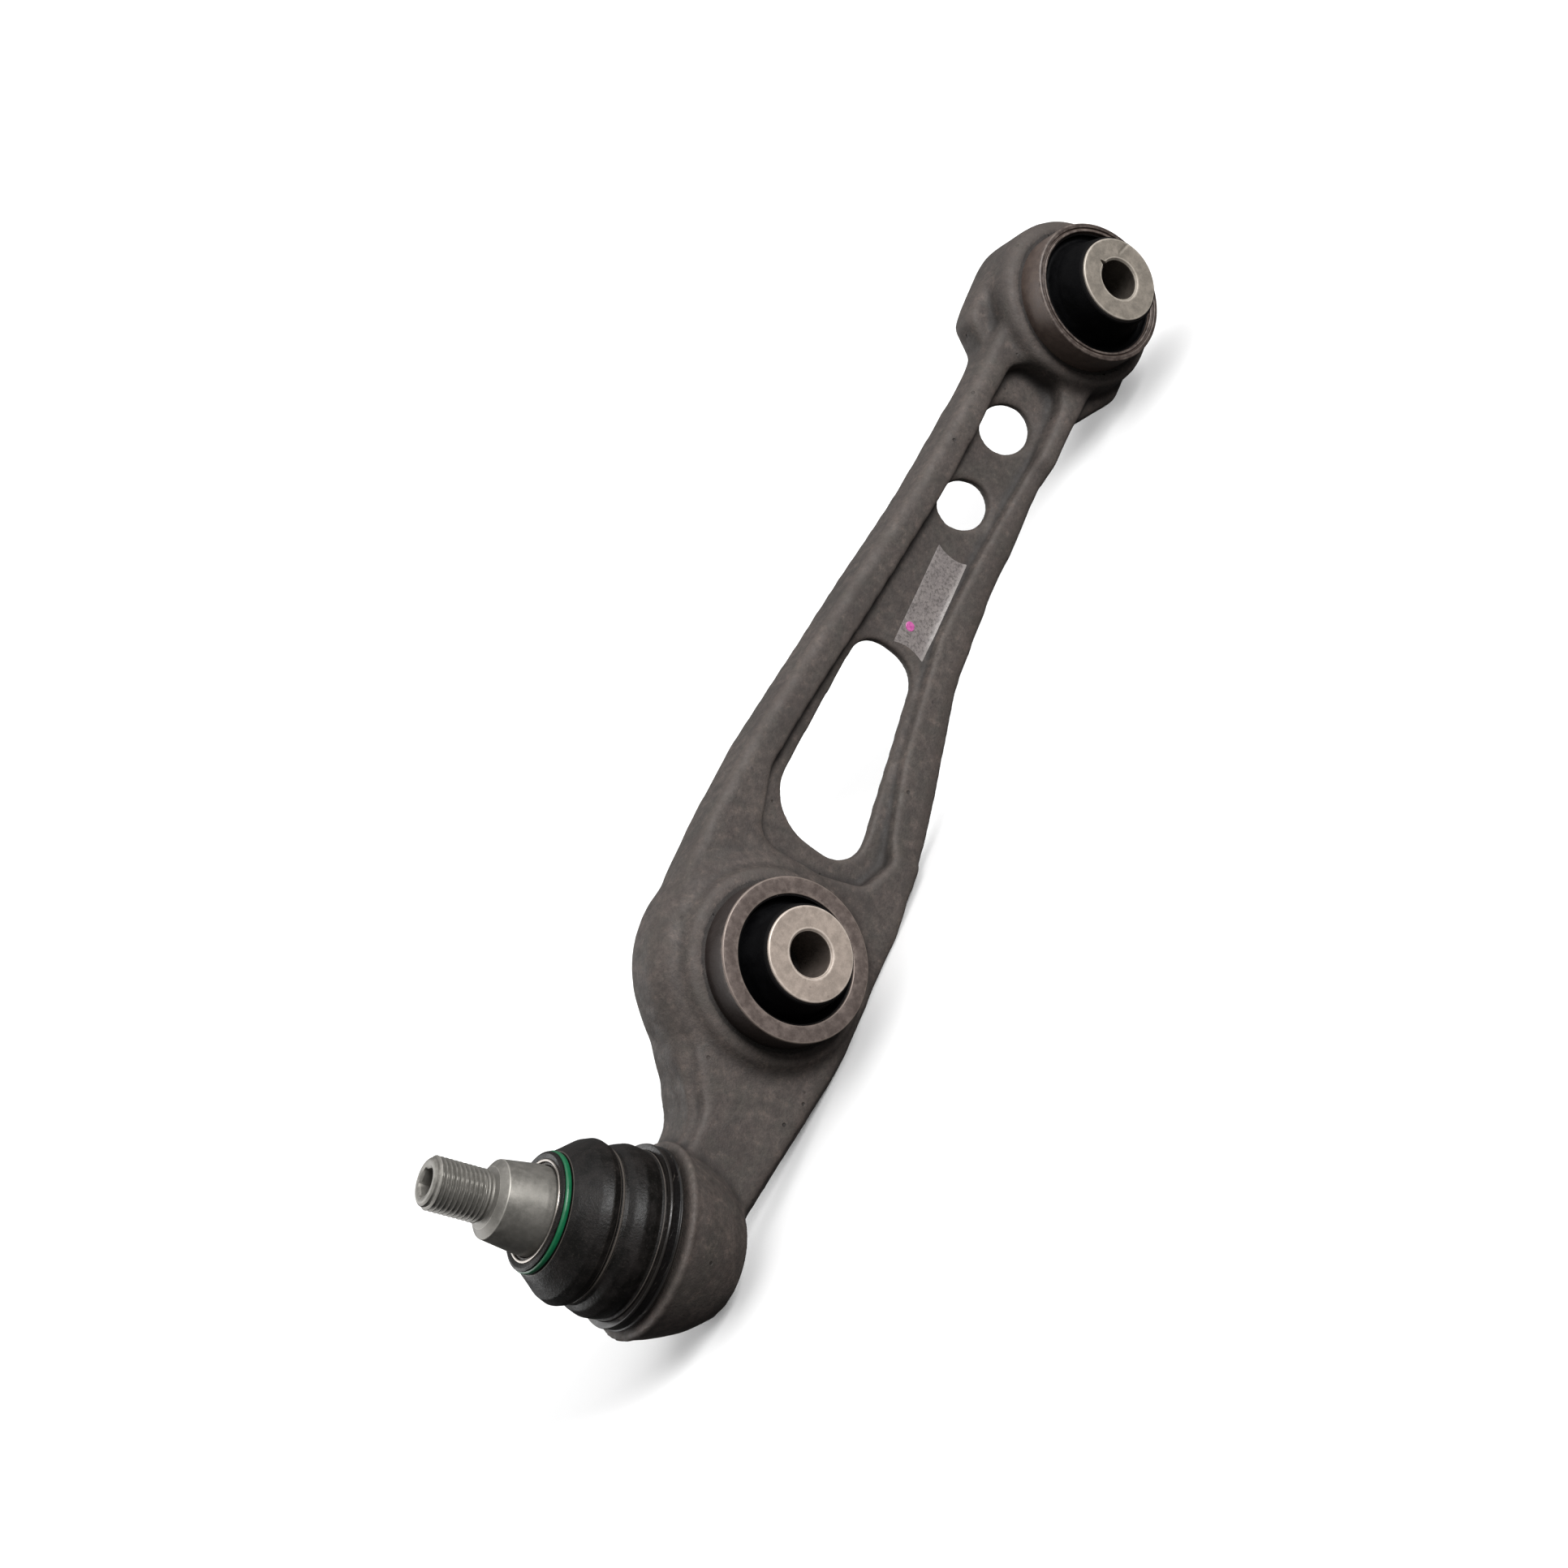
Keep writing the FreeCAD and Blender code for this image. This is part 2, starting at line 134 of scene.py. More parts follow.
def rounded(corners):
    """A closed outline from (radius, station, corner radius) corners."""
    arc, straight = 6, math.radians(88)
    outline, count = [], len(corners)
    for i, (x, y, radius) in enumerate(corners):
        here = Vector((x, y))
        back = Vector(corners[i - 1][:2]) - here
        ahead = Vector(corners[(i + 1) % count][:2]) - here
        if radius == 0 or back.length < 1e-9 or ahead.length < 1e-9:
            outline.append(here)
            continue
        half = back.angle(ahead) / 2
        if half > straight:
            outline.append(here)
            continue
        reach = min(radius / math.tan(half), 0.48 * back.length, 0.48 * ahead.length)
        radius = reach * math.tan(half)
        inward = (back.normalized() + ahead.normalized()).normalized()
        centre = here + inward * (radius / math.sin(half))
        start = here + back.normalized() * reach - centre
        end = here + ahead.normalized() * reach - centre
        sweep = start.angle_signed(end)
        for k in range(arc + 1):
            a = -sweep * k / arc
            c, s = math.cos(a), math.sin(a)
            outline.append(centre + Vector((c * start.x - s * start.y, s * start.x + c * start.y)))
    return [tuple(p) for p in outline]


def both_ends(upper):
    """An outline that is the same on both sides of station 0, from its upper corners, outside first."""
    return [(r, -s, c) for r, s, c in reversed(upper)] + list(upper)


def divided(outline, step):
    """The closed outline with points added so that none is further than step from the next."""
    points = [Vector(p) for p in outline]
    result = []
    for here, there in zip(points, points[1:] + points[:1]):
        pieces = max(1, math.ceil((there - here).length / step))
        result += [here.lerp(there, k / pieces) for k in range(pieces)]
    return [tuple(p) for p in result]


def edge_values(outline, closed):
    """How convex each outline point is, from -1 in a corner to 1 on an edge."""
    p = np.array(outline)
    before, after = p - np.roll(p, 1, 0), np.roll(p, -1, 0) - p
    cross = before[:, 0] * after[:, 1] - before[:, 1] * after[:, 0]
    reach = np.linalg.norm(before, axis=1) + np.linalg.norm(after, axis=1) + 1e-9
    bend = np.arctan2(cross, (before * after).sum(1)) / reach * 2
    if not closed:
        bend[[0, -1]] = 0
    bend = (np.roll(bend, 1) + 2 * bend + np.roll(bend, -1)) / 4
    return np.clip(bend * 0.7, -1, 1)


def finished(name, mesh, material, body, replaces, sharp=42, blend=None):
    """Make the mesh an object of the model, with its finish, riding on a body, or left where it stands when
    a blend is given.

    A blend names two bodies and two stations on the stud, but they are not read: a piece given a blend is
    not bent and rides on no body.
    """
    mesh.polygons.foreach_set("use_smooth", [True] * len(mesh.polygons))
    mesh.set_sharp_from_angle(angle=math.radians(sharp))
    mesh.materials.clear()
    mesh.materials.append(material)
    piece = bpy.data.objects.new(name, mesh)
    scene.collection.objects.link(piece)
    if blend:
        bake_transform(piece)
    else:
        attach(piece, body)
    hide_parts(replaces)
    return piece


def lathe_mesh(name, outline, where, steps=192, warp=None, closed=True, edge_marks=1.0):
    """Turn a counter-clockwise (radius, station) outline about a place's axis.

    A warp moves the turned points, and the last argument scales the edge values that the finish shows as
    edge wear, dust and painted highlight.
    """
    p = np.array(outline, float)
    rows = len(p)
    angle = np.repeat(np.arange(steps)[None] * TURN / steps, rows, 0)
    r, s = np.repeat(p[:, :1], steps, 1), np.repeat(p[:, 1:], steps, 1)
    if warp:
        r, s = warp(r, s, angle)
    local = np.stack([r * np.cos(angle), r * np.sin(angle), s, np.full_like(r, 1 / MM)], -1) * MM
    points = local.reshape(-1, 4) @ np.array(where).T
    last = rows if closed else rows - 1
    i, j = np.meshgrid(np.arange(last), np.arange(steps), indexing="ij")
    up, over = (i + 1) % rows, (j + 1) % steps
    faces = np.stack([i * steps + j, i * steps + over, up * steps + over, up * steps + j], -1)
    mesh = bpy.data.meshes.new(name)
    mesh.from_pydata(points[:, :3].tolist(), [], faces.reshape(-1, 4).tolist())
    edges_and_corners = mesh.attributes.new("edges_and_corners", "FLOAT", "POINT")
    edges_and_corners.data.foreach_set("value", np.repeat(edge_marks * edge_values(outline, closed), steps).astype(np.float32))
    if min(p[:, 0]) < 1e-6:
        work = bmesh.new()
        work.from_mesh(mesh)
        bmesh.ops.remove_doubles(work, verts=work.verts, dist=1e-7)
        work.to_mesh(mesh)
        work.free()
    return mesh


def relaxed(co, a, b, rounds, weight):
    """Points after rounds of averaging with their neighbours along the edges a-b."""
    n = len(co)
    count = np.bincount(a, minlength=n) + np.bincount(b, minlength=n)
    share = (0.5 * weight / np.maximum(count, 1))[:, None]
    for _ in range(rounds):
        total = np.stack([np.bincount(a, co[b, k], n) + np.bincount(b, co[a, k], n) for k in range(3)], 1)
        co = co + share * (total - count[:, None] * co)
    return co


def mesh_arrays(mesh):
    """A mesh's points in millimetres, the two ends of its edges, and its normals."""
    co = np.empty(len(mesh.vertices) * 3)
    mesh.vertices.foreach_get("co", co)
    ends = np.empty(len(mesh.edges) * 2, np.int32)
    mesh.edges.foreach_get("vertices", ends)
    normal = np.empty(len(mesh.vertices) * 3, np.float32)
    mesh.vertex_normals.foreach_get("vector", normal)
    return co.reshape(-1, 3) / MM, ends[0::2], ends[1::2], normal.reshape(-1, 3)


def set_points(mesh, co):
    """Move a mesh's points to places in millimetres."""
    mesh.vertices.foreach_set("co", (co * MM).astype(np.float32).ravel())
    mesh.update()


def modified(mesh, kind, **settings):
    """A new mesh: this one with a modifier applied."""
    work = bpy.data.objects.new("work", mesh)
    scene.collection.objects.link(work)
    modifier = work.modifiers.new("work", kind)
    for key, value in settings.items():
        setattr(modifier, key, value)
    result = bpy.data.meshes.new_from_object(work.evaluated_get(bpy.context.evaluated_depsgraph_get()))
    bpy.data.objects.remove(work)
    return result


# Materials

def linear(colour):
    """An sRGB colour given as 0 to 255, for a shader socket."""
    parts = [c / 255 for c in colour]
    return tuple(c / 12.92 if c < 0.04045 else ((c + 0.055) / 1.055) ** 2.4 for c in parts) + (1.0,)


class Nodes:
    """A material's node tree, with short ways to add to it."""

    def __init__(self, name):
        self.material = bpy.data.materials.new(name)
        self.material.use_nodes = True
        self.tree = self.material.node_tree
        self.shader = self.tree.nodes["Principled BSDF"]
        self.place = self.add("ShaderNodeTexCoord").outputs["Object"]
        self.place = self.vector("SCALE", self.place, scale=1 / MM)

    def add(self, kind, inputs=None, **settings):
        node = self.tree.nodes.new(kind)
        for key, value in settings.items():
            setattr(node, key, value)
        for key, value in (inputs or {}).items():
            self.put(node.inputs[key], value)
        return node

    def put(self, socket, value):
        if isinstance(value, bpy.types.NodeSocket):
            self.tree.links.new(value, socket)
        else:
            socket.default_value = value

    def vector(self, operation, a, b=None, scale=None):
        node = self.add("ShaderNodeVectorMath", operation=operation)
        self.put(node.inputs[0], a)
        if b is not None:
            self.put(node.inputs[1], b)
        if scale is not None:
            node.inputs["Scale"].default_value = scale
        return node.outputs["Value"] if operation in ("DOT_PRODUCT", "LENGTH") else node.outputs["Vector"]

    def math(self, operation, a, b=0.0):
        return self.add("ShaderNodeMath", {0: a, 1: b}, operation=operation).outputs[0]

    def noise(self, size, detail=3.0, rough=0.55, where=None, distortion=0.0):
        """Noise from 0 to 1 with features of that size in millimetres."""
        return self.add("ShaderNodeTexNoise", {
            "Vector": where or self.place, "Scale": 1 / size, "Detail": detail,
            "Roughness": rough, "Distortion": distortion}).outputs["Fac"]

    def cells(self, size):
        """The distance to scattered points that are about that many millimetres apart."""
        inputs = {"Vector": self.place, "Scale": 1 / size}
        return self.add("ShaderNodeTexVoronoi", inputs, feature="F1").outputs["Distance"]

    def fit(self, value, low, high, to_low=0.0, to_high=1.0):
        """The value's range from low to high, fitted smoothly to another range."""
        return self.add("ShaderNodeMapRange", {"Value": value, "From Min": low, "From Max": high,
                                               "To Min": to_low, "To Max": to_high},
                        interpolation_type="SMOOTHSTEP").outputs["Result"]

    def mix(self, share, a, b):
        """Colour a, giving way to colour b as the share rises to 1."""
        node = self.add("ShaderNodeMix", data_type="RGBA", blend_type="MIX")
        for socket, value in ((0, share), (6, a), (7, b)):
            self.put(node.inputs[socket], value)
        return node.outputs[2]

    def edges_and_corners(self):
        """The mesh's edges and corners: 1 on a sharp edge, -1 in a corner or where painted shade is stored.
        """
        return self.add("ShaderNodeAttribute", attribute_name="edges_and_corners").outputs["Fac"]

    def bump(self, height, depth):
        """Bump of that depth in millimetres."""
        inputs = {"Height": height, "Strength": 1.0, "Distance": depth * MM}
        return self.add("ShaderNodeBump", inputs).outputs["Normal"]

    def about(self, where):
        """The radius and the station about a place's axis, in millimetres."""
        axis, origin = where.col[2].xyz, where.translation / MM
        offset = self.vector("SUBTRACT", self.place, tuple(origin))
        station = self.vector("DOT_PRODUCT", offset, tuple(axis))
        along = self.add("ShaderNodeVectorMath", {0: tuple(axis)}, operation="SCALE")
        self.put(along.inputs["Scale"], station)
        radius = self.vector("LENGTH", self.vector("SUBTRACT", offset, along.outputs["Vector"]))
        return radius, station

    def done(self, colour, roughness, normal, metallic=0.0, **sockets):
        """The material, with its shader fed and its constants set on the shader's own sockets."""
        self.put(self.shader.inputs["Base Color"], colour)
        self.put(self.shader.inputs["Roughness"], roughness)
        self.shader.inputs["Metallic"].default_value = metallic
        self.put(self.shader.inputs["Normal"], normal)
        for key, value in sockets.items():
            self.shader.inputs[key.replace("_", " ")].default_value = value
        return self.material


def forged_metal():
    """Shot-blasted forging: matt grey with faint warm and green stains, pits, lighter worn edges, and
    painted shade in its corners and round the bush bores' mouths.
    """
    n = Nodes("forged_metal")
    tone = n.fit(n.noise(26, 4, 0.6), 0.3, 0.7)
    stain = n.fit(n.noise(9, 4, 0.65, distortion=0.6), 0.35, 0.75)
    fine = n.noise(1.1, 4, 0.7)
    colour = n.mix(tone, linear((57, 50, 47)), linear((72, 64, 60)))
    colour = n.mix(n.math("MULTIPLY", stain, 0.55), colour, linear((54, 53, 48)))
    blotch = n.noise(3.2, 5, 0.72)
    colour = n.mix(n.fit(blotch, 0.42, 0.66, 0.0, 0.6), colour, linear((42, 37, 35)))
    colour = n.mix(n.fit(blotch, 0.46, 0.30, 0.0, 0.5), colour, linear((90, 79, 73)))
    colour = n.mix(n.fit(fine, 0.45, 0.70, 0.0, 0.5), colour, linear((40, 36, 34)))
    pits = n.fit(n.cells(7.5), 0.055, 0.11, 1.0, 0.0)
    pits = n.math("MULTIPLY", pits, n.fit(n.noise(14, 1), 0.48, 0.6))
    colour = n.mix(n.math("MULTIPLY", pits, 0.65), colour, linear((24, 21, 20)))
    edges_and_corners = n.edges_and_corners()
    edge = n.fit(n.math("ADD", edges_and_corners, n.fit(n.noise(3.2, 3), 0.3, 0.8, -0.25, 0.25)), 0.25, 0.95)
    colour = n.mix(n.math("MULTIPLY", edge, 0.14), colour, linear((98, 90, 85)))
    # Painted shade: corners, and the mouths of the bush bores, are darkened.
    corner = n.fit(edges_and_corners, -0.9, -0.12, 1.0, 0.0)
    colour = n.mix(n.math("MULTIPLY", corner, 0.72), colour, linear((26, 23, 22)))
    rough = n.fit(n.noise(5, 4, 0.7), 0.3, 0.75, 0.62, 0.80)
    height = n.math("ADD", n.math("MULTIPLY", fine, 0.6), n.math("MULTIPLY", n.noise(0.45, 2), 0.35))
    height = n.math("SUBTRACT", height, n.math("MULTIPLY", pits, 1.6))
    height = n.math("ADD", height, n.math("MULTIPLY", blotch, 1.1))
    normal = n.bump(height, 0.2)
    return n.done(colour, rough, normal, Specular_IOR_Level=0.35)


def turned_steel(name, where, tones, rough, metallic, lines=0.22, depth=0.02, spots=0.0, faced=None,
                 dark_ends=None):
    """Machined steel: fine turning lines about the axis, a mottled tone and brighter edges, partly edge wear
    and partly a painted highlight.

    Below the inner faced radius the bore is darkened as painted shade; beyond the outer faced radius, and
    past the station of dark ends, it is darker.
    """
    n = Nodes(name)
    radius, station = n.about(where)
    across = n.math("ADD", radius, station)
    ring_place = n.add("ShaderNodeCombineXYZ", {"X": n.math("MULTIPLY", across, 1 / lines)}).outputs[0]
    rings = n.noise(1.0, 3, 0.7, where=ring_place)
    mottle = n.noise(2.6, 4, 0.65)
    speck = n.noise(0.5, 2, 0.6)
    dark, light, edge_tone = (linear(t) for t in tones)
    share = n.math("ADD", n.fit(mottle, 0.3, 0.7, 0.0, 0.7), n.fit(speck, 0.4, 0.7, 0.0, 0.3))
    colour = n.mix(share, dark, light)
    if spots:
        spot = n.fit(n.cells(4.2), 0.06, 0.14, 1.0, 0.0)
        colour = n.mix(n.math("MULTIPLY", spot, spots), colour, linear((84, 72, 66)))
    if faced:
        # Painted shade: the bore is darkened; past the outer faced radius the steel is darker as well.
        bore = n.fit(radius, faced[0] - 0.1, faced[0] + 0.2, 0.75, 0.0)
        bore_shade_and_dark_outside = n.math("MAXIMUM", bore, n.fit(radius, faced[1] - 0.2, faced[1] + 0.1))
        colour = n.mix(n.math("MULTIPLY", bore_shade_and_dark_outside, 0.85), colour, linear((34, 27, 25)))
    if dark_ends:
        end = n.fit(n.math("ABSOLUTE", station), dark_ends - 0.4, dark_ends, 0.0, 0.6)
        colour = n.mix(end, colour, linear((30, 24, 22)))
    edges_and_corners = n.edges_and_corners()
    # Lighter edges: edge wear, and a painted highlight along rims and chamfers.
    edge = n.fit(n.math("ADD", edges_and_corners, n.fit(mottle, 0.3, 0.7, -0.15, 0.15)), 0.2, 0.8)
    colour = n.mix(n.math("MULTIPLY", edge, 0.75), colour, edge_tone)
    rough_out = n.math("ADD", n.fit(mottle, 0.3, 0.7, *rough), n.fit(rings, 0.3, 0.7, -0.04, 0.04))
    height = n.math("ADD", rings, n.math("MULTIPLY", speck, 0.5))
    return n.done(colour, rough_out, n.bump(height, depth), metallic=metallic)


def rubber(name, tones, edge_dust_and_sheen, rough, bloom, grain, specular):
    """Moulded rubber: near black, with a cloudy bloom, dust in the grain, a soft sheen, and lighter edges
    that are dust together with a painted highlight.
    """
    n = Nodes(name)
    cloud = n.noise(6.5, 4, 0.65, distortion=0.4)
    fine = n.noise(0.7, 3, 0.7)
    dark, light, dust = (linear(t) for t in tones)
    colour = n.mix(n.fit(cloud, 0.35, 0.72), dark, light)
    colour = n.mix(n.fit(fine, 0.55, 0.78, 0.0, bloom), colour, dust)
    edges_and_corners = n.edges_and_corners()
    # Lighter convex edges: dust, and a painted highlight along the boot's folds and bead.
    colour = n.mix(n.fit(edges_and_corners, 0.35, 0.95, 0.0, 0.6), colour, linear(edge_dust_and_sheen))
    rough_out = n.math("ADD", n.fit(cloud, 0.3, 0.7, *rough), n.fit(fine, 0.3, 0.7, -0.05, 0.05))
    height = n.math("ADD", fine, n.math("MULTIPLY", n.noise(2.2, 3), 0.8))
    return n.done(colour, rough_out, n.bump(height, grain), Specular_IOR_Level=specular)


def band_steel():
    """Black-coated clamp band: satin, with long scratches that show the steel."""
    n = Nodes("clamp_band")
    scratch_place = n.vector("MULTIPLY", n.place, (0.12, 0.12, 1.6))
    scratch = n.fit(n.noise(1.0, 4, 0.7, where=scratch_place), 0.60, 0.70)
    fine = n.noise(0.9, 3, 0.6)
    colour = n.mix(n.noise(5, 3), linear((7, 6, 6)), linear((15, 13, 13)))
    colour = n.mix(n.math("MULTIPLY", scratch, 0.35), colour, linear((92, 86, 80)))
    colour = n.mix(n.fit(n.edges_and_corners(), 0.5, 0.95, 0.0, 0.10), colour, linear((84, 78, 73)))
    rough = n.math("ADD", n.fit(fine, 0.3, 0.7, 0.26, 0.40), n.math("MULTIPLY", scratch, 0.15))
    height = n.math("SUBTRACT", n.math("MULTIPLY", fine, 0.4), n.math("MULTIPLY", scratch, 0.5))
    return n.done(colour, rough, n.bump(height, 0.03), Specular_IOR_Level=0.22)


def green_plastic():
    """Green moulded garter ring with a faint flow pattern and rubbed high spots."""
    n = Nodes("green_garter")
    flow = n.noise(3.5, 4, 0.6, distortion=0.8)
    colour = n.mix(flow, linear((0, 66, 38)), linear((4, 88, 54)))
    colour = n.mix(n.fit(n.noise(0.8, 2), 0.62, 0.8, 0.0, 0.35), colour, linear((30, 104, 76)))
    rough = n.fit(flow, 0.3, 0.7, 0.30, 0.44)
    return n.done(colour, rough, n.bump(n.noise(0.8, 3), 0.02), Specular_IOR_Level=0.5)


def label_film():
    """Blank printed film: pale grey, speckled where the blasted surface shows through."""
    n = Nodes("blank_label")
    speck = n.noise(0.9, 3, 0.75)
    cloud = n.noise(5.5, 3, 0.6)
    colour = n.mix(n.fit(cloud, 0.3, 0.7), linear((98, 92, 91)), linear((110, 104, 102)))
    colour = n.mix(n.fit(speck, 0.48, 0.62, 0.0, 0.75), colour, linear((64, 59, 57)))
    colour = n.mix(n.fit(speck, 0.46, 0.34, 0.0, 0.6), colour, linear((122, 115, 112)))
    colour = n.mix(n.fit(n.edges_and_corners(), 0.1, 0.9, 0.0, 0.45), colour, linear((134, 129, 126)))
    rough = n.fit(speck, 0.3, 0.7, 0.42, 0.6)
    return n.done(colour, rough, n.bump(speck, 0.04), Specular_IOR_Level=0.4)


def pink_paint():
    """A dab of inspection paint, thinner at its edge."""
    n = Nodes("inspection_paint")
    thick = n.noise(0.9, 3, 0.6)
    colour = n.mix(n.fit(thick, 0.3, 0.7), linear((150, 62, 120)), linear((176, 86, 144)))
    return n.done(colour, n.fit(thick, 0.3, 0.7, 0.35, 0.5), n.bump(thick, 0.05))


def shell_plastic():
    """Bearing shell: off-white acetal with a faint moulding haze."""
    n = Nodes("shell_plastic")
    haze = n.noise(4, 3)
    colour = n.mix(haze, linear((206, 202, 190)), linear((224, 220, 210)))
    return n.done(colour, n.fit(haze, 0.3, 0.7, 0.35, 0.5), n.bump(n.noise(0.6, 2), 0.02))


# The forging

def blurred(values, a, b, rounds):
    """One value for each point, averaged with its neighbours' along the edges a-b."""
    return relaxed(np.repeat(values[:, None], 3, 1), a, b, rounds, np.ones(len(values)))[:, 0]


def forging_blank():
    """The CAD forging with its bores plugged, as one even voxel mesh."""
    voxel, steps = 0.9, 128
    eye_plug = [(0, -12.8), (27.5, -12.8), (27.5, 12.8), (0, 12.8)]
    boss_plug = [(0, -16), (28, -16), (28, 16), (0, 16)]
    housing_plug = [(0, -26), (18.5, -26), (21.6, -2), (21.6, 5.6), (0, 5.6)]
    work = bmesh.new()
    work.from_mesh(frame["nodes"]["arm_forging"].data)
    for outline, where in ((eye_plug, INNER), (boss_plug, DAMPER), (housing_plug, STUD)):
        work.from_mesh(lathe_mesh("plug", outline, where, steps))
    joined = bpy.data.meshes.new("forging")
    work.to_mesh(joined)
    work.free()
    return modified(joined, "REMESH", mode="VOXEL", voxel_size=voxel * MM, adaptivity=0.0)


def forging_mesh():
    """The forging with soft forged fillets, its edges kept out and its housing's rim kept crisp."""
    mesh = forging_blank()
    co, a, b, _ = mesh_arrays(mesh)
    x, y, z = co.T
    eye, boss = np.hypot(x, z), np.hypot(x - DAMPER_X, z)
    past_eye = x > 40
    stud = (co - np.array(SHOULDER) / MM) @ np.array(stud_axis)
    machined = smoothstep(stud, -4.5, -1.5) * (np.hypot(x - 368, y) < 45)
    co = relaxed(co, a, b, 10, 1 - 0.85 * machined)
    set_points(mesh, co)

    # Smoothing draws the rails and the eye's flanks in, so they are pushed out by about as much.
    normal = mesh_arrays(mesh)[3] * (1, 0, 1)
    rails = normal[:, 2] * np.sign(z) * (np.abs(z) > 12) * past_eye * ((boss > 44) | (np.abs(y) < 7.7))
    eye_side = (normal[:, 0] * x + normal[:, 2] * z) / np.maximum(eye, 1) * ~past_eye * (eye > 27)
    outward = smoothstep(rails + eye_side * smoothstep(z, 0, 8), 0.1, 0.5)
    outward = blurred(outward, a, b, 30) * (1 - machined)
    co = relaxed(co, a, b, 10, np.clip(1.6 * outward * past_eye, 0, 1))
    upper_side = 0.9 + 0.5 * smoothstep(x, 270, 295) * (1 - smoothstep(x, 310, 340))
    lower_side = 2.2 * smoothstep(x, 62, 100) * (1 - smoothstep(x, 205, 230))
    co = co + normal * outward[:, None] * np.where(z > 0, upper_side, lower_side)[:, None]

    # The steps of the eye's flanks, the pocket's end and the boss melt into each other.
    flanks = smoothstep(eye, 27, 31) * (1 - smoothstep(x, 46, 62))
    pocket_ends = smoothstep(x, 222, 236) * (1 - smoothstep(boss, 44, 50)) * (boss > 37.5)
    steps = (boss < 38) * smoothstep(np.abs(y), 8.2, 9.4)
    co = relaxed(co, a, b, 18, np.clip(0.8 * flanks + 0.7 * pocket_ends + steps, 0, 1))
    set_points(mesh, co)

    co, _, _, normal = mesh_arrays(mesh)
    swell = 0.16 * noise_at(co, 17, 1) + 0.07 * noise_at(co, 5.5, 2)
    set_points(mesh, co + normal * (swell * (1 - 0.8 * machined))[:, None])
    return mesh


def bore_cutter():
    """One mesh that clears both bush bores between their ends, and cuts the ball housing's bore.

    The plugs reach past it at the ends of the bush bores, so a thin disc stays across each end.
    """
    eye_cut = rounded(both_ends([(26.1, 20, 0), (26.1, 12.9, 0), (25.12, 11.2, 0)]))
    boss_cut = rounded(both_ends([(26.6, 22, 0), (26.6, 16.1, 0), (25.62, 14.2, 0)]))
    housing_cut = [(17.0, -25), (17.0, -2), (19.5, -2), (19.5, 1), (18.3, 1), (18.3, 2.2), (20.2, 3.2),
                   (20.2, 7)]
    work = bmesh.new()
    for outline, where in ((eye_cut, INNER), (boss_cut, DAMPER), (housing_cut, STUD)):
        outline = [(0, outline[0][1])] + list(outline) + [(0, outline[-1][1])]
        work.from_mesh(lathe_mesh("cutter", outline, where, 192))
    bmesh.ops.recalc_face_normals(work, faces=work.faces)
    mesh = bpy.data.meshes.new("bore_cutter")
    work.to_mesh(mesh)
    work.free()
    return mesh


def forged_arm(material):
    """The finished forging, with the cutter taken out of it, and its edges' wear and its corners' painted
    shade stored.
    """
    cutter = bpy.data.objects.new("bore_cutter", bore_cutter())
    scene.collection.objects.link(cutter)
    mesh = modified(forging_mesh(), "BOOLEAN", object=cutter, operation="DIFFERENCE", solver="MANIFOLD")
    bpy.data.objects.remove(cutter)
    co, a, b, normal = mesh_arrays(mesh)
    soft = relaxed(co, a, b, 12, np.ones(len(co)))
    bulge = blurred(((co - soft) * normal).sum(1), a, b, 2)
    # The bush bores' mouths are stored as corners, so the forging's finish paints shade round them.
    near_eye_bore = np.hypot(co[:, 0], co[:, 2]) < 26.4
    near_boss_bore = np.hypot(co[:, 0] - DAMPER_X, co[:, 2]) < 27.0
    values = np.where(near_eye_bore | near_boss_bore, -1, np.clip(bulge / 0.28, -1, 1))
    edges_and_corners = mesh.attributes.get("edges_and_corners") or mesh.attributes.new("edges_and_corners", "FLOAT", "POINT")
    edges_and_corners.data.foreach_set("value", values.astype(np.float32))
    return finished("arm_body", mesh, material, "arm", "arm_forging", sharp=38)


# Bushes

def inner_sleeve_mesh(where, marked):
    """A bush's steel sleeve; the marked one has a notched bore and a seam across its face."""
    bore = 7.1
    outline = divided(rounded(both_ends([(14.8, 35, 0.45), (7.75, 35, 0.12), (bore, 34.4, 0.12)])), 0.7)

    def warp(r, s, angle):
        face = s > 33.2
        if marked:
            off = np.abs((angle - math.atan2(-9.0, -1.2) + math.pi) % TURN - math.pi) / math.radians(9)
            notch = bore + 2.5 * np.clip(1 - off, 0, 1)
            r = np.where(face & (r < 9.8), np.maximum(r, notch), r)
            x, z = r * np.cos(angle), -r * np.sin(angle)
            start, run = np.array([-9.2, 4.0]), np.array([-5.3, -1.5])
            t = ((x - start[0]) * run[0] + (z - start[1]) * run[1]) / (run @ run)
            away = np.abs((x - start[0]) * run[1] - (z - start[1]) * run[0]) / np.linalg.norm(run)
            s = s - np.where(face & (t > -0.1), 0.35 * np.exp(-(away / 0.28) ** 2), 0)
        return r + 0.015 * np.sin(3 * angle), s

    return lathe_mesh("sleeve", outline, where, 288, warp)


def moulded(seed, amount, outside):
    """A warp for a bush's rubber: uneven by that amount, and true where the sleeve and the ring hold it."""
    def warp(r, s, angle):
        points = np.stack([r * np.cos(angle), r * np.sin(angle), s], -1).reshape(-1, 3)
        lumps = (noise_at(points, 3.1, seed) + 0.6 * noise_at(points, 1.3, seed + 1)).reshape(r.shape)
        free = smoothstep(r, 15.1, 15.9) * (1 - smoothstep(r, outside - 0.5, outside))
        return r + amount * lumps * free * 0.5, s + amount * lumps * free
    return warp


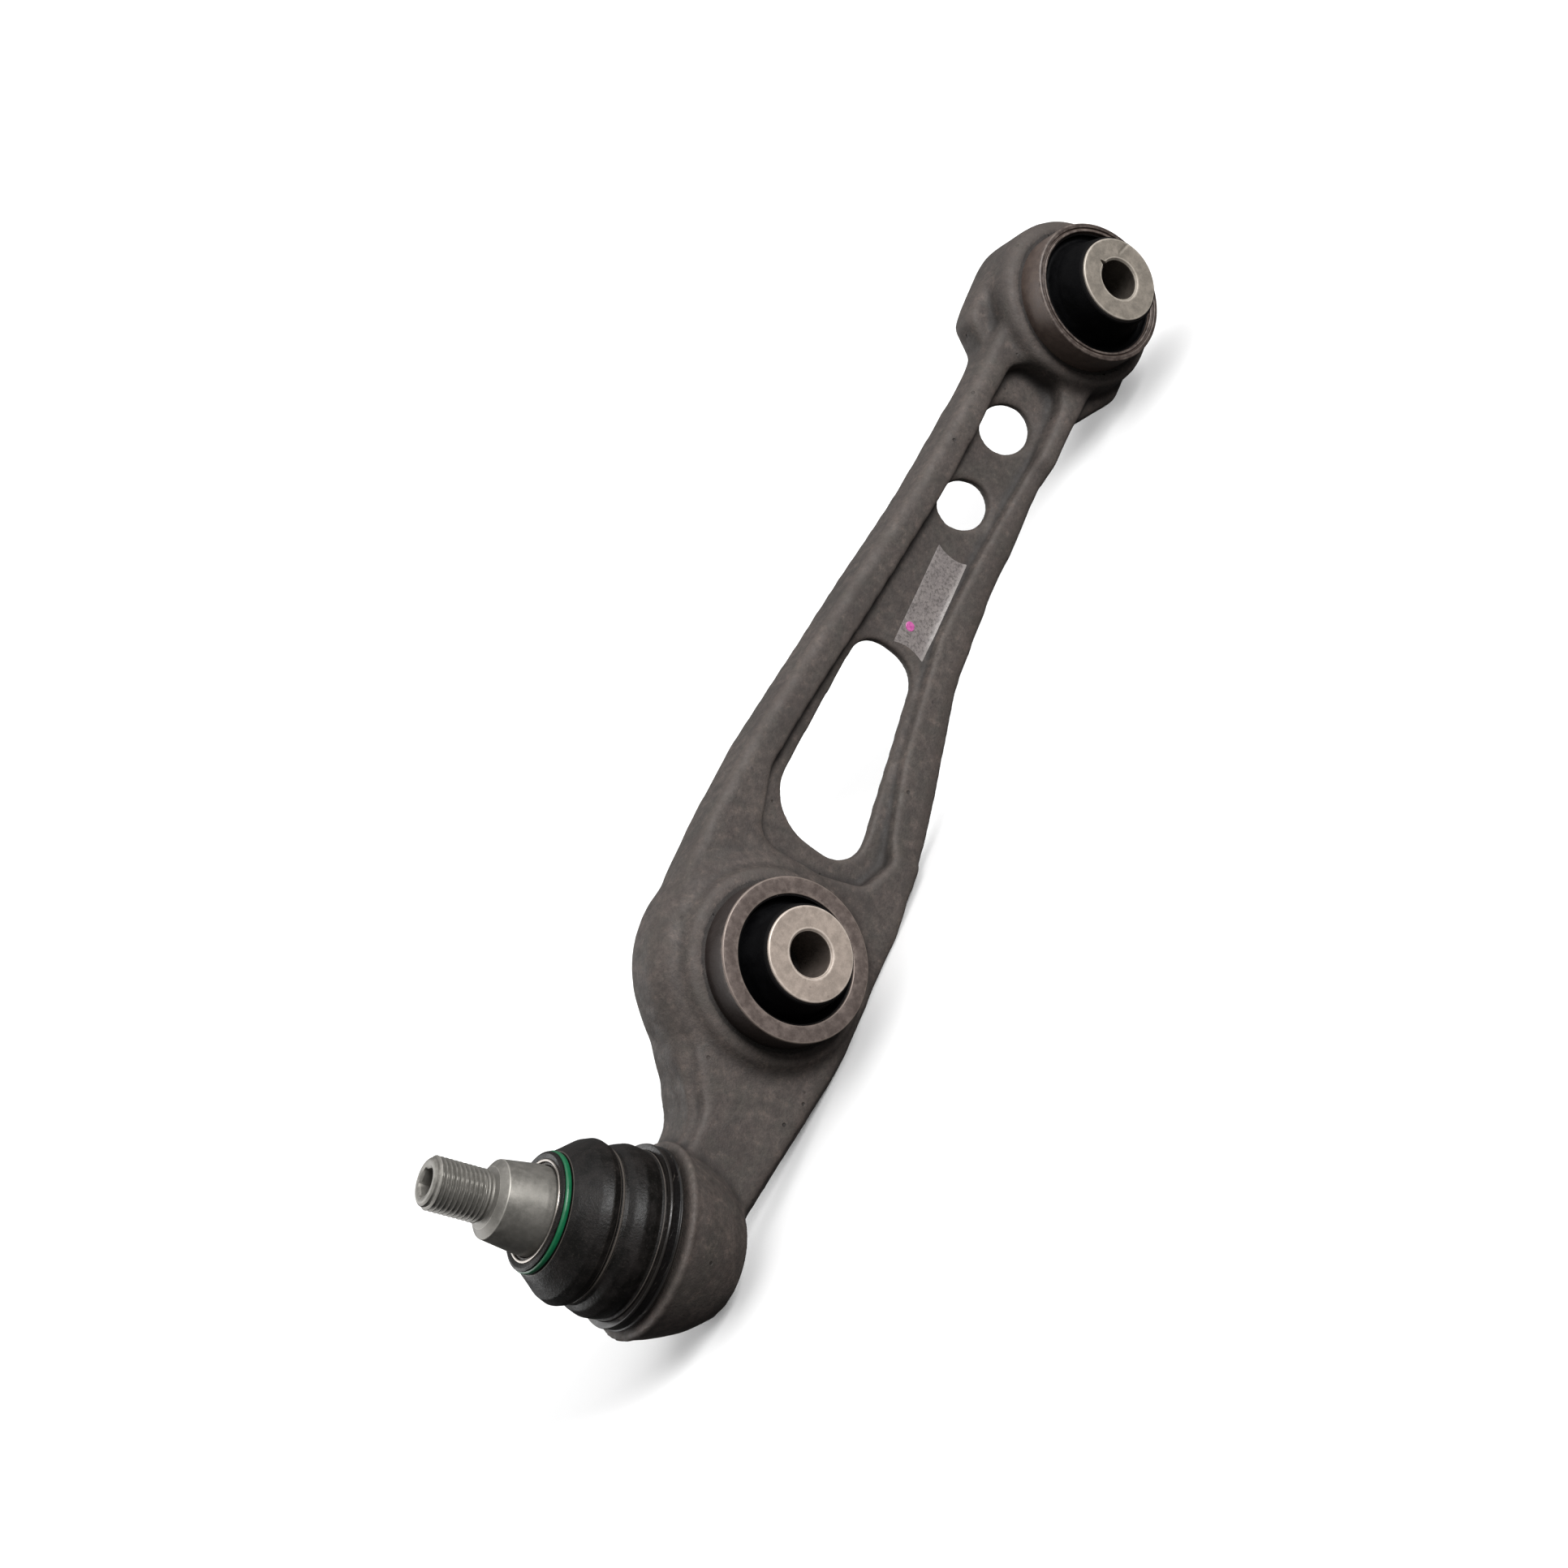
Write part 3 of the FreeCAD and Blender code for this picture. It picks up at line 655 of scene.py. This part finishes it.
def bushes(steel, sleeve_steel, damper_sleeve_steel, ring_steel, black):
    """The inner bush with its rolled can, and the damper's bush with its thick ring."""
    can = rounded(both_ends([
        (25.1, 23.4, 1.25), (23.55, 23.4, 0.3), (23.3, 22.75, 0.2), (23.0, 22.75, 0.2), (22.75, 23.3, 0.3),
        (22.0, 23.25, 0.35), (22.0, 22.25, 0)]) + [(23.5, 22.25, 0), (23.5, -22.25, 0)])
    finished("inner_can", lathe_mesh("inner_can", divided(can, 3), INNER, 224, edge_marks=0.45), steel, "arm",
             "inner_bush_can")
    inner_rubber = rounded(both_ends([
        (21.78, 22.1, 0.1), (21.3, 22.0, 0.3), (20.9, 21.0, 0.8), (20.1, 20.2, 1.0), (19.2, 20.6, 1.2),
        (17.9, 23.5, 4), (16.7, 28.5, 8), (15.7, 33.6, 0.5), (15.3, 34.2, 0.25), (14.86, 34.2, 0)]))
    finished("inner_rubber", lathe_mesh("inner_rubber", divided(inner_rubber, 0.8), INNER, 224,
                                        moulded(3, 0.16, 21.7)),
             black, "arm", "inner_bush_rubber")
    finished("inner_sleeve", inner_sleeve_mesh(INNER, True), sleeve_steel, "inner_sleeve",
             "inner_bush_sleeve")

    ring = rounded(both_ends([(25.6, 26.4, 0.55), (20.1, 26.4, 0.4)]))
    finished("damper_ring", lathe_mesh("damper_ring", divided(ring, 3), DAMPER, 224), ring_steel, "arm",
             "damper_bush_ring")
    damper_rubber = rounded(both_ends([
        (20.08, 25.9, 0.1), (19.6, 25.7, 0.2), (19.4, 23.6, 0.8), (18.8, 22.2, 1.0), (18.0, 22.4, 1.0),
        (17.1, 25.5, 4), (16.3, 29.5, 6), (15.6, 33.6, 0.5), (15.2, 34.2, 0.25), (14.86, 34.2, 0)]))
    finished("damper_rubber", lathe_mesh("damper_rubber", divided(damper_rubber, 0.8), DAMPER, 224,
                                         moulded(7, 0.16, 20.0)),
             black, "arm", "damper_bush_rubber")
    finished("damper_sleeve", inner_sleeve_mesh(DAMPER, False), damper_sleeve_steel, "damper_sleeve",
             "damper_bush_sleeve")


# Ball joint

VALLEY = 18.2    # the station where the boot's two halves meet


def stud_mesh():
    """Neck, taper and a cut M16 thread with a hexagon socket in its end."""
    pitch, depth, major, seat = 1.5, 0.92, 8.0, 13.56
    ball = [(r, BALL_STATION + math.sqrt(seat ** 2 - r * r)) for r in (0, 1.5, 3, 4.5, 6, 7)]
    lower = rounded([(7, ball[-1][1], 0), (7.0, 5, 3), (8.6, 14, 4), (13.4, 25, 3), (13.4, 37.8, 6),
                     (11.8, 49.5, 0.6), (9.2, 51.3, 1.2), (7.15, 51.9, 0.4), (7.15, 52.7, 0.3)])
    start = rounded([(7.15, 52.7, 0), (8.0, 53.4, 0)])
    shank = [(8.0, 53.4 + 0.1 * k) for k in range(1, 156)]
    end = [(7.75, 69.3), (7.1, 69.95), (6.55, 70.4), (6.3, 70.5), (5.6, 70.5), (4.7, 70.3), (4.0, 69.7),
           (4.0, 68.0), (4.0, 64.0), (4.0, 63.6), (3.4, 63.5), (0, 61.7)]
    outline = ball[:-1] + lower[:-1] + start + shank + end

    def warp(r, s, angle):
        share = (s / pitch - angle / TURN) % 1
        tooth = np.clip((np.abs(2 * share - 1) - 0.14) / 0.72, 0, 1)
        cut = depth * tooth * smoothstep(s, 53.2, 54.8) * (r > 6.8)
        hexed = 1 / np.cos((angle + TURN / 12) % (TURN / 6) - TURN / 12)
        inside = (s > 62) & (r < 4.05)
        return np.where(inside, r * hexed, np.maximum(r - cut, np.minimum(r, major - depth))), s

    return lathe_mesh("stud", outline, STUD, 144, warp, closed=False)


def seated(amount, seed):
    """A warp for the boot: slightly uneven, and still where it is held."""
    def warp(r, s, angle):
        points = np.stack([r * np.cos(angle), r * np.sin(angle), s], -1).reshape(-1, 3)
        lumps = noise_at(points, 9, seed).reshape(r.shape)
        free = smoothstep(s, 7, 10) * (1 - smoothstep(np.abs(s - VALLEY), 2.2, 0.2))
        free = free * (1 - smoothstep(s, 29, 32))
        return r + amount * lumps * free, s
    return warp


def ball_joint(stud_steel, boot, band, green, bright):
    """The stud, the boot's two halves and mouth, and the rings that hold the boot."""
    finished("ball_stud", stud_mesh(), stud_steel, "stud", "joint_stud", sharp=34)
    lower = rounded([
        (25.5, 0.25, 0.3), (25.5, 6.6, 0.4), (24.9, 7.3, 0.5), (25.6, 9.2, 2.0), (25.9, 12.4, 3.0),
        (24.8, 15.6, 2.5), (23.3, 17.3, 0.5), (23.0, VALLEY, 0), (21.2, VALLEY, 0), (22.4, 16.0, 1.5),
        (23.3, 12.4, 3), (22.9, 9.2, 2), (22.5, 6.6, 0.5), (22.5, 0.25, 0)])
    finished("boot_fold", lathe_mesh("boot_fold", divided(lower, 0.9), STUD, 224, seated(0.12, 11)),
             boot, "arm", "boot_lower", blend=("arm", "ball", 6.8, VALLEY))
    upper = rounded([
        (23.0, VALLEY, 0), (22.8, 18.5, 0.1), (23.45, 18.75, 0.15), (23.45, 19.25, 0.15), (23.1, 19.5, 0.15),
        (24.2, 20.4, 0.8), (24.9, 22.7, 1.6), (23.7, 25.9, 2.5), (19.6, 31.4, 1.5), (18.4, 32.7, 0.4),
        (16.42, 32.7, 0.3), (16.42, 34.79, 0), (15.45, 34.79, 0), (15.45, 33.8, 0), (14.45, 33.8, 0),
        (14.45, 35.2, 0.15), (13.65, 35.2, 0.2), (13.65, 31.0, 1.0), (17.0, 30.2, 1.5), (21.9, 25.0, 1.5),
        (22.9, 22.7, 1.5), (22.0, 20.2, 0.8), (21.2, VALLEY, 0)])
    finished("boot_bulb", lathe_mesh("boot_bulb", divided(upper, 0.9), STUD, 224, seated(0.15, 15)),
             boot, "boot_neck", "boot_upper", blend=("ball", "boot_neck", VALLEY, 30.5))
    lip = rounded([(15.45, 34.8, 0), (17.75, 34.8, 0.2), (17.7, 35.4, 0.3), (16.9, 35.85, 0.4),
                   (15.45, 35.5, 0.1)])
    finished("boot_mouth", lathe_mesh("boot_mouth", lip, STUD, 192, edge_marks=0.3), boot, "boot_neck",
             "boot_mouth_lip")
    clamp = rounded([(25.6, 1.4, 0.1), (27.5, 1.4, 0.35), (27.65, 2.2, 0.3), (27.2, 2.7, 0.3),
                     (27.2, 4.9, 0.3), (27.65, 5.3, 0.3), (27.4, 6.0, 0.3), (25.6, 6.0, 0.1)])
    finished("clamp_band", lathe_mesh("clamp_band", clamp, STUD, 224), band, "arm",
             "boot_clamp_ring")
    garter = rounded([(16.45, 32.9, 0.5), (18.2, 32.9, 0.75), (18.2, 34.8, 0.75), (16.45, 34.8, 0.5)])
    finished("garter_ring", lathe_mesh("garter_ring", garter, STUD, 192), green, "boot_neck",
             "boot_garter_ring")
    insert = rounded([(14.5, 33.8, 0.1), (15.4, 33.8, 0.1), (15.4, 35.85, 0.3), (14.5, 35.85, 0.3)])
    finished("support_ring", lathe_mesh("support_ring", insert, STUD, 192), bright, "boot_neck",
             "boot_support_ring")


# Label

def film_mesh(name, surface, low, high, step, corner, lift, rim, pinch=0.0):
    """A thin film laid on the surface over an XZ rectangle with rounded corners and pinched ends.

    It stands off the surface by lift, less rim at its edge, and goes under the surface by sunk.
    """
    sunk, above = 0.08, 30
    tree = BVHTree.FromObject(surface, bpy.context.evaluated_depsgraph_get())
    columns, rows = (max(2, round((high[k] - low[k]) / step)) for k in (0, 1))
    centre = ((low[0] + high[0]) / 2, (low[1] + high[1]) / 2)
    half = ((high[0] - low[0]) / 2, (high[1] - low[1]) / 2)
    top, bottom, edge_marks = [], [], []
    for i in range(columns + 1):
        for j in range(rows + 1):
            u, v = 2 * i / columns - 1, 2 * j / rows - 1
            x, z = u * half[0], v * half[1]
            over = Vector((max(0, abs(x) - half[0] + corner), max(0, abs(z) - half[1] + corner)))
            if over.length > corner:
                over *= corner / over.length
                x = math.copysign(half[0] - corner + over.x, x)
                z = math.copysign(half[1] - corner + over.y, z)
            at_rim = smoothstep(np.float64(max(abs(u), abs(v))), 0.9, 1.0)
            edge_marks.append(max(smoothstep(np.float64(-v), 0.72, 0.95), at_rim * 0.4))
            x -= pinch * (1 - v * v) * u ** 5
            start = Vector((centre[0] + x, above, centre[1] + z)) * MM
            hit = tree.ray_cast(start, Vector((0, -1, 0)))[0]
            top.append(hit + Vector((0, (lift - rim * at_rim) * MM, 0)))
            bottom.append(hit - Vector((0, sunk * MM, 0)))
    wide = rows + 1
    count = len(top)
    faces = []
    for i in range(columns):
        for j in range(rows):
            k = i * wide + j
            faces.append((k, k + 1, k + wide + 1, k + wide))
            faces.append((count + k, count + k + wide, count + k + wide + 1, count + k + 1))
    ring = ([j for j in range(rows)] + [i * wide + rows for i in range(columns)]
            + [columns * wide + j for j in range(rows, 0, -1)] + [i * wide for i in range(columns, 0, -1)])
    for here, there in zip(ring, ring[1:] + ring[:1]):
        faces.append((here, count + here, count + there, there))
    mesh = bpy.data.meshes.new(name)
    mesh.from_pydata(top + bottom, [], faces)
    mesh.attributes.new("edges_and_corners", "FLOAT", "POINT").data.foreach_set("value", np.float32(edge_marks + edge_marks))
    work = bmesh.new()
    work.from_mesh(mesh)
    bmesh.ops.recalc_face_normals(work, faces=work.faces)
    work.to_mesh(mesh)
    work.free()
    return mesh


def labels(arm, film, paint):
    """The blank label on the web, and the dot of paint on the label."""
    low, high = (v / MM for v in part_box("web_label"))
    mesh = film_mesh("label", arm, (low.x, low.z - 0.3), (high.x - 0.2, high.z), 0.6, 0.5, 0.12, 0.08, 1.5)
    label = finished("blank_label", mesh, film, "arm", "web_label", sharp=50)
    low, high = (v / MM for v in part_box("paint_dot"))
    mesh = film_mesh("dot", label, (low.x, low.z), (high.x, high.z), 0.28, 1.69, 0.12, 0.1)
    finished("inspection_dot", mesh, paint, "arm", "paint_dot", sharp=50)


# Parts hidden inside the assembly

def dress_hidden_nodes(finishes):
    """Give the CAD nodes inside the assembly their materials."""
    for node, material in finishes.items():
        mesh = frame["nodes"][node].data
        mesh.materials.clear()
        mesh.materials.append(material)
        mesh.polygons.foreach_set("use_smooth", [True] * len(mesh.polygons))
        mesh.set_sharp_from_angle(angle=math.radians(30))


# Stage

def pale_floor():
    """A plain pale floor that sweeps up into a low rim far from the object."""
    n = Nodes("pale_floor")
    colour = n.mix(n.noise(900, 2), (0.90, 0.90, 0.90, 1), (0.93, 0.93, 0.93, 1))
    material = n.done(colour, 0.8, n.bump(n.noise(3, 2), 0.02), Specular_IOR_Level=0.2)
    flat, reach, height, steps = 4.0, 7.0, 1.3, 96
    profile = [(0.0, 0.0), (1.0, 0.0), (flat, 0.0)]
    profile += [(flat + (reach - flat) * t, height * t * t) for t in np.linspace(0.08, 1, 16)]
    mesh = bpy.data.meshes.new("floor")
    points = [(r * math.cos(TURN * k / steps), r * math.sin(TURN * k / steps), cad_box[0].z + z)
              for r, z in profile for k in range(steps)]
    sectors = [(k, (k + 1) % steps) for k in range(steps)]
    faces = [(i * steps + k, i * steps + over, (i + 1) * steps + over, (i + 1) * steps + k)
             for i in range(len(profile) - 1) for k, over in sectors]
    mesh.from_pydata(points, [], faces)
    work = bmesh.new()
    work.from_mesh(mesh)
    bmesh.ops.remove_doubles(work, verts=work.verts, dist=1e-6)
    bmesh.ops.recalc_face_normals(work, faces=work.faces)
    work.to_mesh(mesh)
    work.free()
    mesh.polygons.foreach_set("use_smooth", [True] * len(mesh.polygons))
    mesh.materials.append(material)
    floor = bpy.data.objects.new("floor", mesh)
    floor.visible_diffuse = floor.visible_glossy = False
    scene.collection.objects.link(floor)


def make_lights():
    """A world that is pale above and dim below, a strong front lamp, and soft ones above and behind."""
    world = bpy.data.worlds.new("studio")
    world.use_nodes = True
    tree = world.node_tree
    height = tree.nodes.new("ShaderNodeSeparateXYZ")
    tree.links.new(tree.nodes.new("ShaderNodeTexCoord").outputs["Generated"], height.inputs[0])
    level = tree.nodes.new("ShaderNodeMapRange")
    tree.links.new(height.outputs["Z"], level.inputs["Value"])
    for key, value in (("From Min", -0.35), ("From Max", 0.45), ("To Min", 0.05), ("To Max", 0.42)):
        level.inputs[key].default_value = value
    background = tree.nodes["Background"]
    background.inputs["Color"].default_value = (1.0, 1.0, 1.0, 1)
    tree.links.new(level.outputs["Result"], background.inputs["Strength"])
    scene.world = world
    for name, towards, strength, spread in (
            ("front", (-0.30, 0.87, 0.38), 4.8, 26), ("above", (-0.3, 0.2, 1.0), 1.5, 70),
            ("back", (0.35, -0.85, 0.40), 2.2, 60)):
        data = bpy.data.lights.new(name, "SUN")
        data.energy, data.angle = strength, math.radians(spread)
        lamp = bpy.data.objects.new(name, data)
        scene.collection.objects.link(lamp)
        lamp.rotation_mode = "QUATERNION"
        lamp.rotation_quaternion = Vector(towards).to_track_quat("Z", "Y")


make_camera()
scene.view_settings.view_transform = "Standard"

can_steel = turned_steel("can_steel", INNER, ((66, 54, 49), (88, 75, 67), (128, 116, 109)),
                         (0.42, 0.56), 0.2, lines=0.5, dark_ends=23.0)
sleeve_steel = turned_steel("sleeve_steel", INNER, ((108, 102, 94), (132, 124, 114), (160, 152, 142)),
                            (0.40, 0.54), 0.3, lines=0.35, spots=0.35, faced=(7.2, 16.0))
damper_sleeve_steel = turned_steel(
    "damper_sleeve_steel", DAMPER, ((132, 121, 112), (154, 141, 131), (180, 168, 158)),
    (0.40, 0.54), 0.3, lines=0.35, spots=0.35, faced=(7.2, 16.0))
ring_steel = turned_steel("ring_steel", DAMPER, ((76, 66, 62), (96, 85, 80), (124, 112, 105)),
                          (0.42, 0.56), 0.4, lines=0.45, spots=0.4, faced=(19.9, 25.2))
stud_steel = turned_steel("stud_steel", STUD, ((104, 102, 97), (118, 115, 110), (150, 147, 141)),
                          (0.44, 0.54), 0.65, lines=0.3, depth=0.015)
bright_steel = turned_steel("bright_steel", STUD, ((98, 93, 89), (122, 116, 111), (154, 148, 142)),
                            (0.25, 0.35), 0.9, lines=0.2)
polished_steel = turned_steel("polished_steel", STUD, ((170, 172, 172), (196, 198, 198), (220, 222, 222)),
                              (0.12, 0.2), 1.0, lines=0.2, depth=0.005)
black_rubber = rubber("bush_rubber", ((3, 3, 4), (8, 8, 9), (30, 28, 27)), edge_dust_and_sheen=(24, 22, 22),
                      rough=(0.58, 0.74), bloom=0.1, grain=0.08, specular=0.05)
boot_rubber = rubber("boot_rubber", ((10, 9, 8), (26, 23, 22), (60, 55, 51)), edge_dust_and_sheen=(84, 78, 73),
                     rough=(0.36, 0.52), bloom=0.32, grain=0.12, specular=0.15)
plastic = shell_plastic()

arm = forged_arm(forged_metal())
bushes(can_steel, sleeve_steel, damper_sleeve_steel, ring_steel, black_rubber)
ball_joint(stud_steel, boot_rubber, band_steel(), green_plastic(), bright_steel)
labels(arm, label_film(), pink_paint())
dress_hidden_nodes({
    "joint_ball": polished_steel, "joint_closing_ring": bright_steel, "inner_bush_cage": can_steel,
    "joint_shell_lower": plastic, "joint_shell_upper": plastic})
pale_floor()
make_lights()
